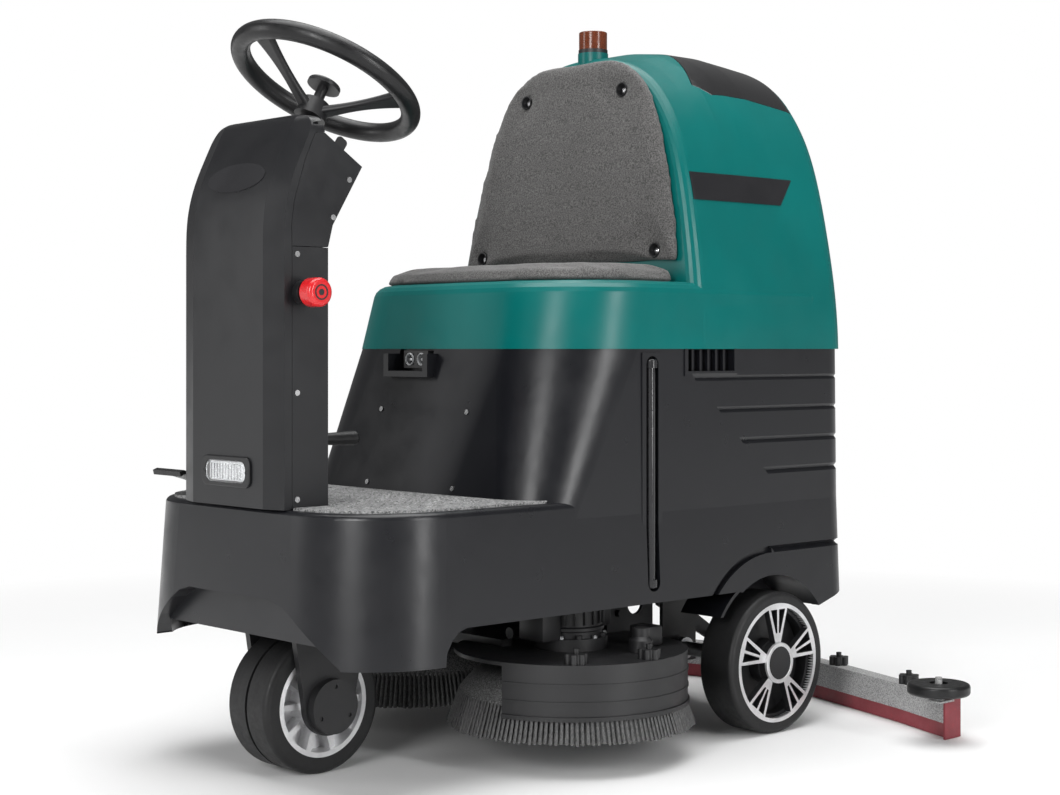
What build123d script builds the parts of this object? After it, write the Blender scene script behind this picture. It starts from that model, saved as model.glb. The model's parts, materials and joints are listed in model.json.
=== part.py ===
"""Ride-on floor scrubber: an assembly of separate pieces in one frame, in millimetres.

+X is the operator's left, -Y is the direction of travel, +Z is up.
The origin is on the floor, under the middle of the machine's bounding box.
Stations along the machine are measured from the rear axle, positive to the rear:
aft() turns such a station into Y.
"""
import os
from math import cos, radians, sin

from build123d import *

# ---------------------------------------------------------------- driving dimensions
rear_axle_y = 262.0
seam_z = 680.0              # joint between the chassis shell and the tank above it
foot_z = 434.0              # top of the platform that the operator's feet stand on
nose_bottom_z = 202.0
skirt_bottom_z = 257.0
body_half = 330.0
shell_wall = 9.0

rear_wheel_r = 125.0
rear_wheel_x = 300.0        # middle of the tread
rear_wheel_width = 76.0
rear_rim_r = 105.0
arch_r = 154.0

front_axle_y = -783.0       # a station, like every number given to aft()
front_wheel_r = 112.0
front_wheel_width = 108.0
front_rim_r = 85.0

column_half = 138.0
column_front = -930.0
column_rear = -836.0

steer_tilt = 28.2           # lean of the steering wheel's shaft, in degrees
steer_hub = (-768.0, 1063.0)
steer_ring_r = 149.7
steer_tube_r = 16.0

brush_y = -385.0
brush_x = 210.0
brush_r = 208.0
deck_z = 174.0

arm_pivot = (120.0, 196.0)  # station and height of the squeegee's lift pivot

tank_wall = 12.0
tank_rear = 222.0
seat_deck_z = 795.0

gap = 0.5                   # open gap between neighbouring covers
running = 0.05              # radial clearance of a running fit

os.makedirs("parts", exist_ok=True)


# ---------------------------------------------------------------- shared shapes
def aft(station):
    """Y of a station measured from the rear axle."""
    return rear_axle_y + station


def finish(builder, name):
    """Label a finished piece and write it."""
    builder.part.label = name
    export_step(builder.part, f"parts/{name}.step")


def plan_outline(z, half, front, bow, front_r, rear, rear_r):
    """Plan outline of the body at height z: bowed front, rounded corners."""
    with BuildSketch(Plane.XY.offset(z)) as outline:
        with BuildLine():
            bowed = ThreePointArc(
                (-half, aft(front) + bow), (0, aft(front)), (half, aft(front) + bow))
            Polyline(bowed @ 1, (half, aft(rear)), (-half, aft(rear)), bowed @ 0)
        make_face()
        fillet(outline.vertices().sort_by(Axis.Y)[:2], radius=front_r)
        fillet(outline.vertices().sort_by(Axis.Y)[-2:], radius=rear_r)
    return outline.sketch.face()


def side_face(points, x=0.0):
    """Face in a plane of constant X from (station, z) corners."""
    with BuildSketch(Plane.YZ.offset(x)) as profile:
        with BuildLine():
            Polyline(*[(aft(y), z) for y, z in points], close=True)
        make_face()
    return profile.sketch.face()


def front_face(points, y=0.0):
    """Face in a plane of constant Y from (x, z) corners; it extrudes towards -Y."""
    with BuildSketch(Plane.XZ.offset(-aft(y))) as profile:
        with BuildLine():
            Polyline(*points, close=True)
        make_face()
    return profile.sketch.face()


def box(x, y, z):
    """Block between two limits on each axis (y as stations), for cuts, walls and ribs."""
    return Solid.make_box(
        x[1] - x[0], y[1] - y[0], z[1] - z[0], Plane((x[0], aft(y[0]), z[0])))


def rod(start, end, radius):
    """Round bar from one point to another, given as (x, station, z)."""
    a = Vector(start[0], aft(start[1]), start[2])
    b = Vector(end[0], aft(end[1]), end[2])
    return Solid.make_cylinder(radius, (b - a).length, Plane(a, z_dir=b - a))


def tube(start, end, outer, inner):
    """Round tube from one point to another, given as (x, station, z)."""
    return rod(start, end, outer) - rod(start, end, inner)


def across(points, half):
    """Prism from a (station, z) profile, reaching half to each side of the centre."""
    return extrude(side_face(points, -half), 2 * half, mode=Mode.PRIVATE)


# ---------------------------------------------------------------- chassis shell
def nose_form(t):
    """Lower half of the body, t inside its outer surface."""
    return loft([
        plan_outline(nose_bottom_z - t, body_half - t, -935 + t, 14, 172 - t, 218 - t, 50 - t),
        plan_outline(foot_z - t, body_half - 10 - t, -921 + t, 12, 170 - t, 218 - t, 50 - t),
    ], ruled=True, mode=Mode.PRIVATE)


pedestal_screw_spots = [(-115, 575), (115, 575), (-115, 449), (115, 449)]


def pedestal_front(z):
    """Station of the pedestal's leaning front face at height z."""
    return -570 + (570 - 508) * (z - foot_z) / (seam_z - foot_z)


def pedestal_form(t, bottom, top):
    """Upper half of the body under the tank, t inside its outer surface."""
    front = [pedestal_front(z) + t for z in (bottom, top)]
    corner = [100 - t + (170 - 100) * (z - foot_z) / (seam_z - foot_z) for z in (bottom, top)]
    half = [body_half - 9 - t + (foot_z - z) * 0.006 for z in (bottom, top)]
    return loft([
        plan_outline(bottom, half[0], front[0], 9, corner[0], 218 - t, 50 - t),
        plan_outline(top, half[1], front[1], 11, corner[1], 216 - t, 50 - t),
    ], ruled=True, mode=Mode.PRIVATE)


def groove(z, start, t_deep=5.0, rise=9.0):
    """V-shaped groove at height z, from a slanted start round the rear corners."""
    inside = loft([
        plan_outline(z + dz, body_half - 8.4 - t, -700, 5, 100, 218 - t, 50 - t)
        for dz, t in ((-rise, -1.0), (0.0, t_deep), (rise, -1.0))],
        ruled=True, mode=Mode.PRIVATE)
    band = across([
        (start, z + rise), (240, z + rise), (240, z - rise), (start + 2 * rise, z - rise)],
        body_half + 20)
    return band - inside


with BuildPart() as chassis_shell:
    add(nose_form(0))
    top_edge = chassis_shell.edges().group_by(Axis.Z)[-1]
    fillet(top_edge.filter_by(lambda e: e.center().Y < aft(-500)), radius=10)
    add(pedestal_form(0, foot_z - 30, seam_z))
    # skirt: the nose reaches lowest, then the edge steps up to clear the brushes
    skirt_cut = across([
        (-761, nose_bottom_z - 20), (-756, 222), (-745, 240), (-731, 252), (-715, skirt_bottom_z),
        (-90, skirt_bottom_z), (60, 213), (121, 213), (179, 230), (260, 250), (260, 180)],
        body_half + 20)
    add(skirt_cut, mode=Mode.SUBTRACT)
    # hollow inside
    extrude(plan_outline(150, body_half - 18, -912, 12, 160, 209, 42), foot_z - 150 - shell_wall,
            mode=Mode.SUBTRACT)
    add(pedestal_form(shell_wall, foot_z - shell_wall - 1, seam_z - 8), mode=Mode.SUBTRACT)
    add(pedestal_form(30, seam_z - 10, seam_z + 1), mode=Mode.SUBTRACT)
    # thick nose wall and arch over the front wheel
    add(box((-262, 262), (-924, -896), (nose_bottom_z + 1, foot_z - 6)) & nose_form(0))
    arch = front_face([
        (-262, 190), (-255, 205), (-236, 222), (-214, 241), (-193, 257), (-170, 274),
        (-144, 289), (-112, 297), (112, 297), (144, 289), (170, 274), (193, 257),
        (214, 241), (236, 222), (255, 205), (262, 190)], -870)
    extrude(arch, 80, mode=Mode.SUBTRACT)
    add(box((-222, 222), (-896.5, -891), (231, foot_z - 6)))
    # wheel arches with an inner wall
    for side in (-1, 1):
        hub = (side * 226, 0, rear_wheel_r)
        rim = (side * (body_half - 9.6), 0, rear_wheel_r)
        liner = rod(hub, rim, arch_r + 6) - box((-400, 400), (-300, 300), (-100, 215))
        add(liner)
        add(rod((side * 232, 0, rear_wheel_r), (side * 345, 0, rear_wheel_r), arch_r),
            mode=Mode.SUBTRACT)
    # recess behind the level tube and the grip on each side
    add(box((300, 322), (-328, -280), (262, 674)))
    add(box((296, 322), (-224, -90), (634, seam_z)))
    add(box((-321, -296), (-224, -90), (634, seam_z)))
    with BuildSketch(Plane.YZ.offset(308)):
        with Locations((aft(-304), 472)):
            SlotOverall(392, 29, rotation=90)
    extrude(amount=30, mode=Mode.SUBTRACT)
    for side in (-1, 1):
        x_in, x_out = sorted((side * 303, side * 340))
        add(box((x_in, x_out), (-216, -98), (642, seam_z + 1)), mode=Mode.SUBTRACT)
        x_in, x_out = sorted((side * 302, side * 313))
        for rib in range(5):
            y_rib = -198 + 20 * rib
            add(box((x_in, x_out), (y_rib, y_rib + 5), (641, seam_z - 0.5)))
    # moulded grooves towards the rear, and the brow that follows the wheel arch
    for z, start in ((630, -208), (575, -146), (520, -87.5), (465, -23)):
        add(groove(z, start), mode=Mode.SUBTRACT)
    add(groove(325, -6, 5.0, 6.0), mode=Mode.SUBTRACT)
    for side in (-1, 1):
        a, b = sorted((side * (body_half - 13.5), side * (body_half + 10)))
        ring = (rod((a, -2, 122), (b, -2, 122), 209) - rod((a, -2, 122), (b, -2, 122), 197))
        quadrant = box((a - 1, b + 1), (-215, -2), (skirt_bottom_z - 8, 340))
        add(ring & quadrant, mode=Mode.SUBTRACT)
    # seats of the four front screws
    for x, z in pedestal_screw_spots:
        y_face = pedestal_front(z)
        add(rod((x, y_face - 8, z + 2), (x, y_face + 2, z - 0.5), 6.5), mode=Mode.SUBTRACT)
    # way through for the steering shaft and the cables, and for the axle
    add(rod((0, -870, foot_z - 20), (0, -870, foot_z + 10), 14), mode=Mode.SUBTRACT)
    for side in (-1, 1):
        add(rod((side * 220, 0, rear_wheel_r), (side * 240, 0, rear_wheel_r), 22),
            mode=Mode.SUBTRACT)
    # recess for the charging socket
    add(box((-108, 12), (-535, -485), (632, 672)))
    add(pedestal_form(30, seam_z - 10, seam_z + 1), mode=Mode.SUBTRACT)
    add(box((-95, -1), (-560, -500), (642, seam_z + 1)), mode=Mode.SUBTRACT)
finish(chassis_shell, "chassis_shell")

with BuildPart() as foot_mat:
    add(extrude(plan_outline(foot_z, 303, -907, 12, 150, -420, 20), 4, mode=Mode.PRIVATE))
    add(pedestal_form(-3, foot_z - 20, foot_z + 30), mode=Mode.SUBTRACT)
    add(box((-142, 142), (-940, -832), (400, 460)), mode=Mode.SUBTRACT)
finish(foot_mat, "foot_mat")

with BuildPart() as level_tube:
    add(rod((317.3, -304, 295.6), (317.3, -304, 648.4), 8))
    for z_low, z_high in ((281, 295.5), (648.5, 663)):
        add(rod((318.7, -304, z_low), (318.7, -304, z_high), 10.4))
    ends = level_tube.edges().filter_by(GeomType.CIRCLE).sort_by(Axis.Z)
    fillet([ends[0], ends[-1]], radius=3)
finish(level_tube, "level_tube")

with BuildPart() as charge_connector:
    add(box((-77, -11), (-514, -500.5), (647, 677)))
    for x in (-60, -28):
        add(box((x - 11, x + 11), (-520, -504), (652, 672)), mode=Mode.SUBTRACT)
finish(charge_connector, "charge_connector")

# ---------------------------------------------------------------- steel frame and axle
with BuildPart() as main_frame:
    for side in (-1, 1):
        a, b = sorted((side * 92, side * 122))
        add(box((a, b), (-878, 206), (304, 342)))
        a, b = sorted((side * 92, side * 100))
        add(box((a, b), (-45, 45), (98, 304)))
    for y in (-878, -600, -240, 170):
        add(box((-92, 92), (y, y + 36), (304, 342)))
    add(box((-92, 92), (-842, -724), (304, 314)))
    add(rod((0, front_axle_y, 262), (0, front_axle_y, 342), 32))
    add(rod((0, front_axle_y, 200), (0, front_axle_y, 400), 20 + running), mode=Mode.SUBTRACT)
    # battery tray and the socket that the squeegee swings in
    add(box((-296, 296), (-205, 190), (342, 346)))
    add(box((-296, 296), (-205, -201), (346, 376)))
    add(box((-296, 296), (186, 190), (346, 376)))
    add(box((-92, 92), (arm_pivot[0] - 26, arm_pivot[0] + 26), (304, 330)))
    add(box((-40, 40), (arm_pivot[0] - 26, arm_pivot[0] + 26), (228, 304)))
    add(rod((0, arm_pivot[0], 200), (0, arm_pivot[0], 302), 14 + running), mode=Mode.SUBTRACT)
    add(rod((-150, 0, rear_wheel_r), (150, 0, rear_wheel_r), 12.6), mode=Mode.SUBTRACT)
finish(main_frame, "main_frame")

with BuildPart() as rear_axle:
    add(rod((-338, 0, rear_wheel_r), (338, 0, rear_wheel_r), 12.5))
    for x in (-246, -112, 112, 246):
        add(rod((x - 6, 0, rear_wheel_r), (x + 6, 0, rear_wheel_r), 20))
finish(rear_axle, "rear_axle")

with BuildPart() as batteries:
    with Locations(*[(x, aft(-7 + y), 346 + 137) for x in (-134, 134) for y in (-94, 94)]):
        Box(260, 180, 274)
    fillet(batteries.edges().filter_by(Axis.Z), radius=8)
    for x in (-134, 134):
        for y in (-94, 94):
            for post in (-85, 85):
                add(rod((x + post, -7 + y, 620), (x + post, -7 + y, 634), 9))
finish(batteries, "batteries")

with BuildPart() as solution_tank:
    add(box((-295, 295), (-478, -222), (346, 640)))
    fillet(solution_tank.edges().filter_by(Axis.Z), radius=40)
    add(rod((0, -350, 639), (0, -350, 652), 45))
    add(pedestal_form(shell_wall + 4, foot_z - 90, seam_z), mode=Mode.INTERSECT)
    add(box((285, 300), (-340, -268), (340, 660)), mode=Mode.SUBTRACT)
finish(solution_tank, "solution_tank")

with BuildPart() as controller:
    add(box((-88, 88), (-700, -612), (350, 410)))
    for fin in range(9):
        add(box((-80 + 19 * fin, -74 + 19 * fin), (-698, -614), (410, 420)))
finish(controller, "drive_controller")

# ---------------------------------------------------------------- steering column
column_skin = 4.0


def cover_profile(x):
    """Side profile of the column's front cover."""
    with BuildSketch(Plane.YZ.offset(x)) as profile:
        with BuildLine():
            front = Line((aft(column_front), foot_z + 0.5), (aft(column_front), 830))
            lean = Spline(front @ 1, (aft(-926), 900), (aft(-914), 945), (aft(-892), 995),
                          (aft(-874), 1031), (aft(-858), 1046), tangents=((0, 1), (1, 0.3)))
            Polyline(lean @ 1, (aft(-842), 1043), (aft(-842), 1014.8), (aft(-855), 1014.8),
                     (aft(-861), 1012), (aft(-870), 993), (aft(-880), 970), (aft(-890), 938),
                     (aft(-900), 907), (aft(-905), 869), (aft(-904), 831),
                     (aft(-904), foot_z + 0.5), front @ 0)
        make_face()
    return profile.sketch.face()


dash_plane = Plane((0, aft(-806), 990), x_dir=(1, 0, 0), z_dir=(0, 0.5547, 0.832))
badge_plane = Plane((0, aft(-912.2), 949), x_dir=(1, 0, 0), z_dir=(0, -73, 30))
flat_half = 98.0            # half width of the cover's flat front, between its bevels
bevel = Vector(40.0, 12.0, 0.0)

with BuildPart() as badge:
    with BuildSketch(badge_plane.offset(-2)):
        Ellipse(78, 25)
    extrude(amount=3)
finish(badge, "front_badge_blank")

with BuildPart() as column_cover:
    extrude(cover_profile(-flat_half), 2 * flat_half)
    for side in (-1, 1):
        extrude(cover_profile(side * flat_half), bevel.length,
                dir=Vector(side * bevel.X, bevel.Y, 0))
    hollow = across([
        (-800, 1100), (-842, 1100), (-842, 1014.8), (-855, 1014.8), (-861, 1012), (-870, 993),
        (-880, 970), (-890, 938), (-900, 907), (-905, 869), (-904, 831),
        (-904, 400), (-800, 400)], 200)
    add(hollow, mode=Mode.SUBTRACT)
    with BuildSketch(Plane.YZ.offset(-column_half + column_skin)) as core:
        with BuildLine():
            Polyline((aft(-917), 400), (aft(-917), 850), (aft(-912), 905), (aft(-900), 945),
                     (aft(-880), 990), (aft(-866), 1018), (aft(-858), 1034), (aft(-830), 1034),
                     (aft(-830), 400), close=True)
        make_face()
    extrude(core.sketch, 2 * (column_half - column_skin), mode=Mode.SUBTRACT)
    # rounded crown
    with BuildSketch(Plane.XZ.offset(-aft(-1000))) as crown:
        with BuildLine():
            top = ThreePointArc((column_half, 1036), (0, 1053), (-column_half, 1036))
            Polyline(top @ 1, (-column_half, 400), (column_half, 400), top @ 0)
        make_face()
        fillet(crown.vertices().sort_by(Axis.Y)[-2:], radius=30)
    extrude(crown.sketch, -300, mode=Mode.INTERSECT)
    # seats for the lamp and the badge
    add(badge.part, mode=Mode.SUBTRACT)
    with BuildSketch(Plane.XZ.offset(-aft(column_front - 10))):
        with Locations((0, 488.5)):
            RectangleRounded(122, 38, 12)
    extrude(amount=-60, mode=Mode.SUBTRACT)
finish(column_cover, "column_front_cover")

with BuildPart() as lamp_housing:
    with BuildSketch(Plane.XZ.offset(-aft(column_front - 0.2))):
        with Locations((0, 488.5)):
            RectangleRounded(134, 48, 14)
    extrude(amount=4)
    fillet(lamp_housing.edges().group_by(Axis.Y)[0], radius=2)
    with BuildSketch(Plane.XZ.offset(-aft(column_front - 0.2))):
        with Locations((0, 488.5)):
            RectangleRounded(121, 37, 11.5)
    extrude(amount=-26)
    with BuildSketch(Plane.XZ.offset(-aft(column_front - 10))):
        with Locations((0, 488.5)):
            RectangleRounded(112, 35, 15)
    extrude(amount=-30, mode=Mode.SUBTRACT)
finish(lamp_housing, "headlight_housing")

with BuildPart() as lamp_lens:
    with BuildSketch(Plane.XZ.offset(-aft(column_front - 3))):
        with Locations((0, 488.5)):
            RectangleRounded(111.4, 34.4, 14.7)
    extrude(amount=-4)
    with BuildSketch(Plane.XZ.offset(-aft(column_front - 3))):
        with Locations(*[(-40 + 8 * rib, 488.5) for rib in range(11)]):
            Rectangle(3, 24)
    extrude(amount=1.5)
finish(lamp_lens, "headlight_lens")

upper_panel = [
    (-903.4, 837.5), (-836, 837.5), (-827, 872), (-770, 966), (-842, 1014.3), (-855, 1014.3),
    (-860.5, 1011.6), (-869.4, 992.8), (-879.4, 969.8), (-889.4, 937.8), (-899.4, 906.8),
    (-904.4, 869), (-903.4, 837.5)][:-1]
lower_panel = [(-903.4, foot_z + 0.5), (-836, foot_z + 0.5), (-836, 836.5), (-903.4, 836.5)]
estop_y, estop_z = -885.0, 766.0
lever_x, lever_z = 60.0, 536.0
pedal_x = -225.0

with BuildPart() as panels:
    for side in (-1, 1):
        x_low = min(side * column_half, side * (column_half - column_skin))
        extrude(side_face(lower_panel, x_low), column_skin)
        extrude(side_face(upper_panel, x_low), column_skin)
    add(rod((130, estop_y, estop_z), (142, estop_y, estop_z), 15.3), mode=Mode.SUBTRACT)
finish(panels, "column_side_panels")

with BuildPart() as rear_cover:
    add(box((-133.5, 133.5), (-840, -836), (foot_z + 0.5, 836.5)))
    add(box((lever_x - 8, lever_x + 8), (-850, -830), (lever_z - 48, lever_z + 48)),
        mode=Mode.SUBTRACT)
finish(rear_cover, "column_rear_cover")

shaft_dir = Vector(0, sin(radians(steer_tilt)), cos(radians(steer_tilt)))


def along_shaft(s):
    """Point (x, station, z) on the steering shaft, s below the hub."""
    return (0, steer_hub[0] - s * shaft_dir.Y, steer_hub[1] - s * shaft_dir.Z)


button_spot = (-100, -10)
key_spot = (112, 4)
with BuildPart() as dash:
    add(across([
        (-836, 837.5), (-827, 872), (-770, 966), (-842, 1014.3), (-845.5, 1010), (-775.8, 964.5),
        (-830.8, 873.2), (-840, 837.5)], 133.5))
    boot_low = along_shaft(78)
    add(Solid.make_cone(26, 17, 66, Plane(
        (0, aft(boot_low[1]), boot_low[2]), z_dir=(0, sin(radians(steer_tilt)),
                                                    cos(radians(steer_tilt))))))
    add(rod(along_shaft(0), along_shaft(120), 9.6), mode=Mode.SUBTRACT)
    with BuildSketch(dash_plane.offset(-12)):
        with Locations(button_spot):
            Rectangle(14.8, 14.8)
        with Locations(key_spot):
            Circle(8.4)
    extrude(amount=24, mode=Mode.SUBTRACT)
finish(dash, "dash_housing")

with BuildPart() as button:
    with BuildSketch(dash_plane.offset(-3)):
        with Locations(button_spot):
            RectangleRounded(14, 14, 2)
    extrude(amount=7)
    fillet(button.edges().sort_by(Axis.Z)[-3:], radius=0.8)
finish(button, "dash_button")

with BuildPart() as key_switch:
    with BuildSketch(dash_plane.offset(0.3)):
        with Locations(key_spot):
            Circle(12)
    extrude(amount=3)
    with BuildSketch(dash_plane.offset(-22)):
        with Locations(key_spot):
            Circle(8)
    extrude(amount=22.5)
    with BuildSketch(dash_plane.offset(-12)):
        with Locations(key_spot):
            Circle(3 + running)
    extrude(amount=20, mode=Mode.SUBTRACT)
finish(key_switch, "key_switch")

with BuildPart() as key:
    with BuildSketch(dash_plane.offset(-10)):
        with Locations(key_spot):
            Circle(3)
    extrude(amount=17)
    with BuildSketch(Plane(dash_plane.from_local_coords((key_spot[0] - 1.5, key_spot[1], 17)),
                           x_dir=(0, 0.832, -0.5547), z_dir=(1, 0, 0))):
        RectangleRounded(20, 22, 6)
    extrude(amount=3)
finish(key, "ignition_key")

with BuildPart() as column_frame:
    add(box((-132, 132), (-900, -842), (foot_z + 0.5, foot_z + 6)))
    for side in (-1, 1):
        a, b = sorted((side * 112, side * 132))
        add(box((a, b), (-866, -844), (foot_z + 0.5, 925)))
        a, b = sorted((side * 108, side * 128))
        add(box((a, b), (-870, -850), (foot_z + 6, 930)), mode=Mode.SUBTRACT)
    add(box((-132, 132), (-888, -844), (800, 806)))
    add(rod((0, -870, 790), (0, -870, 816), 16))
    add(rod((0, -870, 400), (0, -870, 830), 9 + running), mode=Mode.SUBTRACT)
    add(box((-132, 132), (-860, -840), (900, 925)))
    add(rod(along_shaft(96), along_shaft(168), 17))
    add(rod(along_shaft(60), along_shaft(200), 9 + running), mode=Mode.SUBTRACT)
    # pivot brackets of the lift lever and of the pedal
    add(rod((lever_x - 18, -868, lever_z), (lever_x + 18, -868, lever_z), 5))
    for x in (lever_x - 18, lever_x + 12):
        add(box((x, x + 6), (-876, -860), (foot_z + 5, lever_z + 10)))
    add(rod((pedal_x - 52, -806, 450), (pedal_x + 52, -806, 450), 4))
    add(box((pedal_x - 52, pedal_x + 52), (-816, -794), (foot_z + 4.1, foot_z + 7)))
    for x in (pedal_x - 52, pedal_x + 46):
        add(box((x, x + 6), (-813, -799), (foot_z + 4.1, 457)))
finish(column_frame, "column_frame")

with BuildPart() as cover_screws:
    for side in (-1, 1):
        for y, z in ((-796, 944), (-836 + 9, 884), (-895, 825), (-895, 613), (-895, 450)):
            add(rod((side * column_half, y, z), (side * (column_half + 2), y, z), 4.5))
    for x, z in pedestal_screw_spots:
        y_face = pedestal_front(z)
        add(rod((x, y_face + 1.6, z - 0.4), (x, y_face - 0.6, z + 0.15), 4.5))
        add(rod((x, y_face - 0.6, z + 0.15), (x, y_face - 4, z + 1), 2), mode=Mode.SUBTRACT)
finish(cover_screws, "cover_screws")

with BuildPart() as estop_collar:
    add(tube((column_half + 0.1, estop_y, estop_z), (152, estop_y, estop_z), 19, 8 + running))
    add(tube((112, estop_y, estop_z), (column_half + 1, estop_y, estop_z), 15, 8 + running))
finish(estop_collar, "emergency_stop_collar")

with BuildPart() as estop_button:
    add(rod((122, estop_y, estop_z), (166, estop_y, estop_z), 8))
    add(rod((162, estop_y, estop_z), (188, estop_y, estop_z), 22.5))
    fillet(estop_button.faces().sort_by(Axis.X)[-1].edges(), radius=7)
finish(estop_button, "emergency_stop_button")

with BuildPart() as lever:
    add(rod((lever_x, -868, lever_z), (lever_x, -800, lever_z), 6))
    add(Solid.make_cone(9, 12, 78, Plane((lever_x, aft(-800), lever_z), z_dir=(0, 1, 0))))
    add(rod((lever_x - 9, -868, lever_z), (lever_x + 9, -868, lever_z), 12))
    add(rod((lever_x - 12, -868, lever_z), (lever_x + 12, -868, lever_z), 5 + running),
        mode=Mode.SUBTRACT)
    fillet(lever.faces().sort_by(Axis.Y)[-1].edges(), radius=5)
finish(lever, "squeegee_lift_lever")

with BuildPart() as pedal:
    with BuildSketch(Plane.YZ.offset(pedal_x - 42)):
        with BuildLine():
            Polyline((aft(-806), 447), (aft(-806), 453), (aft(-894), 480), (aft(-902), 477),
                     (aft(-900), 469), (aft(-892), 473), close=True)
        make_face()
    extrude(amount=84)
    add(rod((pedal_x - 42, -806, 450), (pedal_x + 42, -806, 450), 7))
    add(rod((pedal_x - 50, -806, 450), (pedal_x + 50, -806, 450), 4 + running),
        mode=Mode.SUBTRACT)
finish(pedal, "accelerator_pedal")

# ---------------------------------------------------------------- steering wheel
wheel_plane = Plane((0, aft(steer_hub[0]), steer_hub[1]), x_dir=(1, 0, 0), z_dir=shaft_dir)
rim_rise = 60.0             # rim plane above the hub

with BuildPart() as steering_rim:
    with BuildSketch(Plane(wheel_plane.from_local_coords((steer_ring_r, 0, rim_rise)),
                           x_dir=(1, 0, 0), z_dir=(0, -shaft_dir.Z, shaft_dir.Y))):
        Circle(steer_tube_r)
    revolve(axis=Axis(wheel_plane.origin, shaft_dir), revolution_arc=360)
finish(steering_rim, "steering_wheel_rim")


def spoke_section(angle, r, z, wide, thick):
    """Rounded section of a spoke at radius r, square to the spoke's slope."""
    out = Vector(cos(radians(angle)), sin(radians(angle)), 0)
    here = wheel_plane.from_local_coords(Vector(out.X * r, out.Y * r, z))
    ahead = wheel_plane.from_local_coords(Vector(out.X * (r + 10), out.Y * (r + 10), z + 4.3))
    with BuildSketch(Plane(here, x_dir=shaft_dir.cross(ahead - here), z_dir=ahead - here)) as cut:
        RectangleRounded(wide, thick, thick * 0.4)
    return cut.sketch.face()


with BuildPart() as spokes:
    with BuildSketch(wheel_plane.offset(-8)):
        Circle(27)
    extrude(amount=30, taper=8)
    for angle in (30, 150, 270):
        loft([spoke_section(angle, r, z, wide, thick) for r, z, wide, thick in (
            (18, 6, 26, 14), (70, 30, 20, 11), (138, 59, 42, 13))])
    add(steering_rim.part, mode=Mode.SUBTRACT)
    with BuildSketch(wheel_plane.offset(10)):
        Circle(9.3)
    extrude(amount=40, mode=Mode.SUBTRACT)
    add(rod(along_shaft(8), along_shaft(196), 9))
    add(rod(along_shaft(196), along_shaft(204), 14))
finish(spokes, "steering_wheel_spokes")

with BuildPart() as horn_button:
    with BuildSketch(wheel_plane.offset(15)):
        Circle(9)
    extrude(amount=36)
    with BuildSketch(wheel_plane.offset(50)):
        Circle(28)
    extrude(amount=9)
    fillet(horn_button.edges().filter_by(GeomType.CIRCLE).sort_by(
        lambda e: -abs((e.center() - wheel_plane.origin).dot(shaft_dir)))[:1], radius=4)
finish(horn_button, "horn_button")

with BuildPart() as lower_shaft:
    add(rod((0, -870, 350), (0, -870, 852), 9))
    add(rod((0, -870, 852), (0, -870, 858), 13))
    add(rod((0, -870, 350), (0, -870, 358), 16))
finish(lower_shaft, "steering_shaft_lower")

# ---------------------------------------------------------------- front fork and wheel
with BuildPart() as fork:
    leg = [(-783 - 66, 222), (-783 - 66, 248), (-783 + 66, 248), (-783 + 66, 196),
           (-783 + 48, 112), (-783 - 48, 112)]
    for side in (-1, 1):
        x_low = min(side * 59, side * 71)
        extrude(side_face(leg, x_low), 12)
        add(rod((x_low, front_axle_y, front_wheel_r), (x_low + 12, front_axle_y, front_wheel_r), 48))
    add(box((-71, 71), (-783 - 66, -783 + 66), (238, 250)))
    add(rod((0, front_axle_y, 249), (0, front_axle_y, 366), 20))
    add(rod((-71, front_axle_y, front_wheel_r), (71, front_axle_y, front_wheel_r), 10))
    # round covers over the axle's ends, each with three screw recesses
    for side in (-1, 1):
        cover = rod((side * 70, front_axle_y, front_wheel_r),
                    (side * 87, front_axle_y, front_wheel_r), 43.5)
        for turn in range(3):
            a = radians(90 + 120 * turn)
            y, z = front_axle_y + 32 * cos(a), front_wheel_r + 32 * sin(a)
            cover -= rod((side * 84, y, z), (side * 90, y, z), 3.5)
        add(cover)
finish(fork, "front_fork")


def ring_profile(r_in, r_out, half, shoulder):
    """Section of a tyre in the plane through its axle, rounded at the tread's edges."""
    with BuildSketch(Plane.XY) as section:
        with Locations((0, (r_in + r_out) / 2)):
            Rectangle(2 * half, r_out - r_in)
        fillet(section.vertices().sort_by(Axis.Y)[-2:], radius=shoulder)
    return section.sketch.face()


def turned(section, x, station, z):
    """Revolve a section drawn about the X axis and stand it at an axle's place."""
    shape = revolve(section, Axis.X, 360, mode=Mode.PRIVATE)
    return Pos(x, aft(station), z) * shape


with BuildPart() as front_tyre:
    half = front_wheel_width / 2
    add(turned(ring_profile(front_rim_r, front_wheel_r, half, 10), 0, front_axle_y,
               front_wheel_r))
    add(tube((-3, front_axle_y, front_wheel_r), (3, front_axle_y, front_wheel_r),
             front_wheel_r + 1, front_wheel_r - 6), mode=Mode.SUBTRACT)
finish(front_tyre, "front_tyre")

with BuildPart() as front_rim:
    centre = (front_axle_y, front_wheel_r)
    add(tube((-54, *centre), (54, *centre), front_rim_r, front_rim_r - 8))
    add(tube((-20, *centre), (20, *centre), front_rim_r - 4, 40))
    for side in (-1, 1):
        for turn in range(10):
            a = radians(36 * turn)
            c, s = cos(a), sin(a)
            x_low = min(side * 20, side * 46)
            bar = Solid.make_box(26, 10, 48, Plane(
                (x_low, aft(front_axle_y) - 5 * s + 36 * c, front_wheel_r + 5 * c + 36 * s),
                x_dir=(1, 0, 0), z_dir=(0, c, s)))
            add(bar)
    add(tube((-50, *centre), (50, *centre), 42, 10 + running))
finish(front_rim, "front_rim")

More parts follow.
